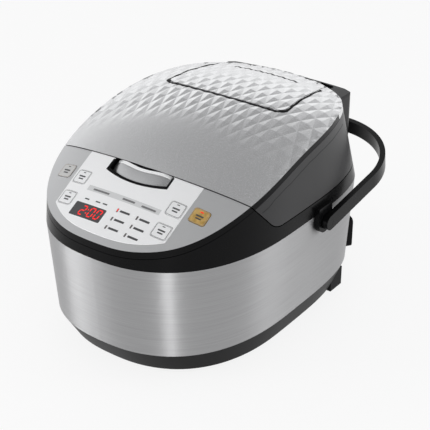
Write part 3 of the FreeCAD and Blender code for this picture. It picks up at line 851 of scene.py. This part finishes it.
# %% Seam round the steam cover
SEAM_LIFT = 0.16 * MM
SEAM_ROWS = (0.5, 1.2, 1.9, 2.6, 3.3, 4.0)
COVER_FRONT_HALF, COVER_REAR_HALF = 79.0, 66.0
COVER_FRONT, COVER_LINE_END, COVER_END = 15.1, 106.0, 159.6
COVER_CORNER, COVER_BOW, CORNER_DIP = 10.0, 4.5, 0.9


def cover_outline(grow):
    """Plan outline of the cover from its left rear round its front, in millimetres."""
    w, r, front = COVER_FRONT_HALF + grow, COVER_REAR_HALF + grow, COVER_FRONT - grow
    flank = front + COVER_BOW
    lean = (w - r) / (COVER_END - flank)
    left = []
    for i in range(41):
        y = COVER_LINE_END - (COVER_LINE_END - flank - COVER_CORNER) * i / 40
        left.append((-(r + (COVER_END - y) * lean), y))
    for i in range(1, 12):
        a = math.radians(90 * i / 12)
        inner, up = COVER_CORNER * (1 - math.cos(a)), COVER_CORNER * (1 - math.sin(a))
        left.append((-w + inner + lean * up / 2, flank + up - CORNER_DIP * math.sin(a)))
    bow = []
    for i in range(81):
        x = (w - COVER_CORNER) * (i / 40 - 1)
        bow.append((x, front - COVER_BOW + 2 * COVER_BOW * (x / w) ** 2))
    return left + bow + [(-x, y) for x, y in left[::-1]]


lid_ground = surface(quilted_lid, quilted_cover, nodes["lid_shell"])
rows = []
for grow in SEAM_ROWS:
    rows.append([drop(lid_ground, x * MM, y * MM, SEAM_LIFT) for x, y in cover_outline(grow)])
dark_sheet("cover_seam", "lid", rows)
print("cover seam", len(rows), "rows of", len(rows[0]), "points")

# %% [markdown]
# Crease on the lid's wall
# A fine groove runs along each side of the lid's dark wall, a little below the silver. It could be
# cut into the wall, but the solid is never changed, so a thin dark sheet stands for it, and its
# darkness is painted shade of the groove. Its height follows the lower edge of the silver, measured
# in sectors round the lid.

# %% Crease on the lid's wall
BODY_Y = -38.4 * MM
CREASE_DOWN, CREASE_LINE, CREASE_LIFT = 10.5 * MM, 0.7 * MM, 0.05 * MM
SECTOR = 4
CREASE_DEGREES = range(66, 137, 2)
PAST_WALL = 0.3
lid_wall = surface(nodes["lid_shell"])
edge_height = {}
for v in nodes["lid_top_panel"].data.vertices:
    sector = round(math.degrees(math.atan2(v.co.x, BODY_Y - v.co.y)) / SECTOR)
    edge_height[sector] = min(edge_height.get(sector, 1.0), v.co.z)


def crease_point(degrees, dz):
    """A point of the crease, some way round the lid from its front."""
    a, k = math.radians(degrees), degrees / SECTOR
    low, high = edge_height[math.floor(k)], edge_height[math.ceil(k)]
    z = low + (high - low) * (k - math.floor(k)) - CREASE_DOWN
    out = Vector((math.sin(a), -math.cos(a), 0))
    start = Vector((0, BODY_Y, z + dz)) + out * PAST_WALL
    point, normal, _, _ = lid_wall.ray_cast(start, -out)
    return point + normal * CREASE_LIFT


# Each crease line is a dark sheet: painted shade in the groove.
for side, word in ((-1, "left"), (1, "right")):
    rows = [[crease_point(degrees * side, dz) for degrees in CREASE_DEGREES]
            for dz in (CREASE_LINE / 2, -CREASE_LINE / 2)]
    dark_sheet("lid_crease_shade_" + word, "lid", rows)
print("creases of", len(CREASE_DEGREES), "points")

# %% [markdown]
# Seams behind the panel
# The lid meets the panel in a dark joint on either side of the latch. The panel's rear edge is
# found by halving: a ray that meets the panel moves the search to the rear, and one that misses
# moves it to the front. That needs no knowledge of how the edge curves.

# %% Seams behind the panel
PANEL_NEAR, PANEL_FAR, HALVINGS = -135 * MM, -80 * MM, 24
PANEL_FACING = 0.3
LINE_LIFT = 0.08 * MM
SEAM_FROM, SEAM_LONG, SEAM_STEPS = 40.5, 79.5, 30
panel_ground = surface(nodes["control_panel"], nodes["panel_film"], nodes["upper_frame"])
panel_only = surface(nodes["control_panel"])


def panel_rear(x):
    """Rear edge of the panel at a distance from the middle."""
    near, far = PANEL_NEAR, PANEL_FAR
    for _ in range(HALVINGS):
        y = (near + far) / 2
        point, normal = below(panel_only, x, y)
        if point is not None and normal.z > PANEL_FACING:
            near = y
        else:
            far = y
    return near


for side, word in ((-1, "left"), (1, "right")):
    places = [side * (SEAM_FROM + SEAM_LONG * k / SEAM_STEPS) * MM for k in range(SEAM_STEPS + 1)]
    rows = [[drop(panel_ground, x, panel_rear(x) - step * MM, LINE_LIFT) for x in places]
            for step in (0.1, 2.4)]
    dark_sheet("panel_seam_" + word, "cooker", rows)
print("panel ends", round(panel_rear(SEAM_FROM * MM) / MM, 1), "mm from the middle, by the latch")

# %% [markdown]
# Well round the latch
# The latch sits in a dark well. One sheet runs round its sides and front, with its inner row sunk
# into the well, and a second closes the gap to the lid. Without them light would shine through the
# clearances that the button needs to move.

# %% Well round the latch
WELL_HALF, WELL_SIDE, WELL_LEAN = 38.5, 38.3, 0.2
WELL_CORNER, WELL_FRONT, WELL_BOW = 129.9, 136.4, 6.5
WELL_ROWS = (-0.4, 1.2, 2.4)
WELL_SINK = 0.3
GAP_HALF, GAP_STEPS, GAP_SINK = 38.6 * MM, (-1.4, 0.7), 0.9 * MM


def latch_outline(grow, rear):
    """Plan outline of the well, in millimetres: left side, bowed front and right side."""
    half, deep = WELL_HALF + grow, WELL_CORNER + grow
    side = [(-WELL_SIDE - grow - WELL_LEAN * k / 6, -deep + (rear + deep) * (1 - k / 6))
            for k in range(7)]
    bow = [(half * (i / 16 - 1), -WELL_FRONT - grow + WELL_BOW * (i / 16 - 1) ** 2)
           for i in range(1, 32)]
    return side + bow + [(-x, y) for x, y in side[::-1]]


seam_y = panel_rear(41.2 * MM) / MM - 0.2
well, lip, rim = [latch_outline(grow, seam_y) for grow in WELL_ROWS]
lip_row, rim_row = [[drop(panel_ground, x * MM, y * MM, LINE_LIFT) for x, y in line]
                    for line in (lip, rim)]
well_row = []
for (x, y), (_, lip_y), edge in zip(well, lip, lip_row):
    fall = PANEL_RISE * (y - lip_y) - WELL_SINK
    well_row.append(Vector((x * MM, y * MM, edge.z + fall * MM)))
dark_sheet("latch_surround", "cooker", [well_row, lip_row, rim_row])
rows = [[on_latch(x, through(REARS, x) + step * MM, -GAP_SINK) for x in latch_columns(GAP_HALF)]
        for step in GAP_STEPS]
dark_sheet("latch_gap", "cooker", rows)
print("well of", len(well_row), "points")

# %% [markdown]
# Pivot caps
# The carry handle turns on two pins, and a plain cap hides the end of each. A cap is one round
# sheet in the handle's finish, and it rides on the handle.

# %% Pivot caps
PIVOT = Vector((0, 16.6 * MM, 126.0 * MM))
CAP_OUT, CAP_R, CAP_SIDES = 147.25 * MM, 4.05 * MM, 32
bm = bmesh.new()
for side in (-1, 1):
    place = Matrix.Translation(PIVOT + Vector((side * CAP_OUT, 0, 0)))
    place = place @ Matrix.Rotation(math.radians(90), 4, "Y")
    bmesh.ops.create_circle(bm, cap_ends=True, segments=CAP_SIDES, radius=CAP_R, matrix=place)
print("pivot caps", len(bm.faces))
piece("pivot_caps", "handle", black, bm)

# %% [markdown]
# Camera
# The camera stands where the photo was taken from: to the front right and above. Its direction,
# distance and lens were fitted to edges of the body, and a small shift places the cooker in the
# frame. Turning the camera instead would change the perspective.

# %% Camera
AZIMUTH, ELEVATION = math.radians(36.38), math.radians(27.50)
TARGET, DISTANCE = Vector((0, 0.0176, 0.100)), 1.28563
LENS, SENSOR, SHIFT_X, SHIFT_Y = 92.4, 36.0, -0.0174, -0.0194
level = math.cos(ELEVATION)
back = Vector((math.sin(AZIMUTH) * level, -math.cos(AZIMUTH) * level, math.sin(ELEVATION)))
camera = bpy.data.objects.new("camera", bpy.data.cameras.new("camera"))
camera.location = TARGET + back * DISTANCE
camera.rotation_euler = back.to_track_quat("Z", "Y").to_euler()
camera.data.sensor_width = SENSOR
camera.data.lens = LENS
camera.data.shift_x, camera.data.shift_y = SHIFT_X, SHIFT_Y
bpy.context.scene.collection.objects.link(camera)
bpy.context.scene.camera = camera
print("camera", round(DISTANCE, 2), "m away")

# %% [markdown]
# Lamps
# Soft boxes light the cooker as in a studio. Two low ones in front and one at the right are what
# the steel smears into its bright upright bands, so each stands where its reflection falls on the
# body. A weak large one hangs at the left, and a faint one behind lights the rear of the lid.
# Stronger lamps overhead would turn the pale film white.

# %% Lamps
LAMPS = {
    "key_light": ((-1.0, -1.0, 1.4), (0, 0, 0.15), (1.8, 1.8), 1.5),
    "left_strip": ((-0.97, -1.00, 0.30), (0, 0, 0.10), (0.55, 0.6), 7),
    "right_strip": ((0.84, -1.36, 0.30), (0, 0, 0.10), (0.22, 0.6), 6),
    "fill_light": ((1.25, 0.75, 0.55), (0, 0, 0.10), (0.6, 0.9), 5),
    "back_light": ((-0.90, 1.25, 0.80), (0, 0, 0.15), (1.6, 0.6), 1.3),
}
for name, (place, aim, size, power) in LAMPS.items():
    data = bpy.data.lights.new(name, "AREA")
    data.shape = "RECTANGLE"
    data.size, data.size_y = size
    data.energy = power
    lamp = bpy.data.objects.new(name, data)
    lamp.location = place
    lamp.rotation_euler = (Vector(place) - Vector(aim)).to_track_quat("Z", "Y").to_euler()
    bpy.context.scene.collection.objects.link(lamp)
print(len(LAMPS), "soft boxes")

# %% [markdown]
# Sky
# The rest of the studio is a pale room that is darker overhead. An even room would light both sides
# of a fold alike, and the quilting would vanish. With a gradient by height, a facet that leans back
# mirrors the dark ceiling, and one that leans forward the pale walls.

# %% Sky
SKY = [(0.0, 1.06), (0.14, 1.06), (0.44, 1.0), (0.66, 0.66), (0.80, 0.46), (1.0, 0.40)]
SKY_STRENGTH, SKY_BLUE = 0.9, 1.01
world = bpy.data.worlds.new("studio")
world.use_nodes = True
tree = world.node_tree
room = tree.nodes["Background"]
room.inputs["Strength"].default_value = SKY_STRENGTH
where = tree.nodes.new("ShaderNodeTexCoord")
split = tree.nodes.new("ShaderNodeSeparateXYZ")
sky = tree.nodes.new("ShaderNodeValToRGB")
stops = sky.color_ramp.elements
for k, (height, tone) in enumerate(SKY):
    stop = stops[k] if k < 2 else stops.new(height)
    stop.position = height
    stop.color = (tone, tone, tone * SKY_BLUE, 1)
tree.links.new(where.outputs["Generated"], split.inputs["Vector"])
tree.links.new(split.outputs["Z"], sky.inputs["Fac"])
tree.links.new(sky.outputs["Color"], room.inputs["Color"])
bpy.context.scene.world = world
bpy.context.scene.view_settings.view_transform = "Standard"
print("sky of", len(stops), "stops")

# %% [markdown]
# Floor
# The cooker stands on a pale floor that runs into a white background. More light would whiten the
# floor, but the cooker too. Instead the floor glows for the rays that the camera, metal and glass
# see, and keeps its own pale colour for the rest. The glow is only mixed in, so a shadow shows.

# %% Floor
FLOOR_HALF, FLOOR_CELLS, FLOOR_WHITE = 6.0, 8, 0.85
bm = bmesh.new()
bmesh.ops.create_grid(bm, x_segments=FLOOR_CELLS, y_segments=FLOOR_CELLS, size=FLOOR_HALF)
floor_mat = grained("pale_floor", (0.86, 0.86, 0.86), 0.6, 0.01, 40, depth=10)
floor = new_object("floor", bm, floor_mat)
tree = floor_mat.node_tree
seen = tree.nodes.new("ShaderNodeLightPath")


def combine(operation, first, second):
    """A Math node on an output and either another output or a number."""
    node = tree.nodes.new("ShaderNodeMath")
    node.operation = operation
    tree.links.new(first, node.inputs[0])
    if isinstance(second, float):
        node.inputs[1].default_value = second
    else:
        tree.links.new(second, node.inputs[1])
    return node.outputs["Value"]


rays = combine("MAXIMUM", seen.outputs["Is Camera Ray"], seen.outputs["Is Glossy Ray"])
rays = combine("MAXIMUM", rays, seen.outputs["Is Transmission Ray"])
white = tree.nodes.new("ShaderNodeEmission")
mix = tree.nodes.new("ShaderNodeMixShader")
tree.links.new(combine("MULTIPLY", rays, FLOOR_WHITE), mix.inputs["Fac"])
tree.links.new(tree.nodes["Principled BSDF"].outputs["BSDF"], mix.inputs[1])
tree.links.new(white.outputs["Emission"], mix.inputs[2])
tree.links.new(mix.outputs["Shader"], tree.nodes["Material Output"].inputs["Surface"])
print("floor", 2 * FLOOR_HALF, "m wide")
